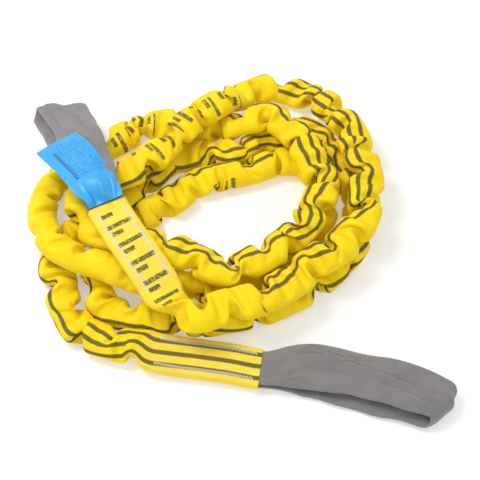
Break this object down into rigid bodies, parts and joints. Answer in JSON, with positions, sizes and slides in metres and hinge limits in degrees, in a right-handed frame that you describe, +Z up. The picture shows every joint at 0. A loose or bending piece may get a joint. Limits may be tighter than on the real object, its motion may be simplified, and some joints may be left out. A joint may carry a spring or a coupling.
{
  "type": "round sling",
  "caption": "Eye-and-eye round sling: a gathered tubular cover over an endless yarn hank, with flat sewn cuffs and sleeved lifting eyes, lying loosely coiled.",
  "frame": {"origin": "on the supporting surface, under the middle of the sling's box as it lies coiled", "axes": "+Z up; +X from the left end of the coil towards the eye that lies out to the right; +Y to the back, where the labelled eye's end lies"},
  "size_m": [0.6299, 0.6189, 0.1108],
  "materials": {
    "cover": "woven polyester, matt",
    "yarn": "loose polyester yarn",
    "sleeve": "tightly woven, matt",
    "thread": "sewing thread",
    "label": "smooth flexible vinyl"
  },
  "bodies": {
    "sling_body": {"body_cover": "cover", "hank_leg_upper": "yarn", "hank_leg_lower": "yarn", "stitch_row_a_left": "thread", "stitch_row_a_right": "thread", "stitch_row_b_left": "thread", "stitch_row_b_right": "thread"},
    "eye_a": {"eye_sleeve_a": "sleeve", "hank_loop_a": "yarn"},
    "eye_b": {"eye_sleeve_b": "sleeve", "hank_loop_b": "yarn"},
    "label": {"label": "label"}
  },
  "joints": [
    {"name": "eye_a_fold", "type": "hinge", "parent": "sling_body", "child": "eye_a", "pos_m": [-0.1758, 0.0077, 0.0972], "axis": [0.8913, 0.4535, 0], "range_deg": [0, 90]},
    {"name": "eye_b_fold", "type": "hinge", "parent": "sling_body", "child": "eye_b", "pos_m": [0.0459, -0.216, 0.0223], "axis": [-0.101, -0.9949, 0], "range_deg": [0, 90]},
    {"name": "label_flap", "type": "hinge", "parent": "eye_a", "child": "label", "pos_m": [-0.179, 0.014, 0.1], "axis": [0.92, 0.3919, 0], "range_deg": [0, 60]}
  ]
}
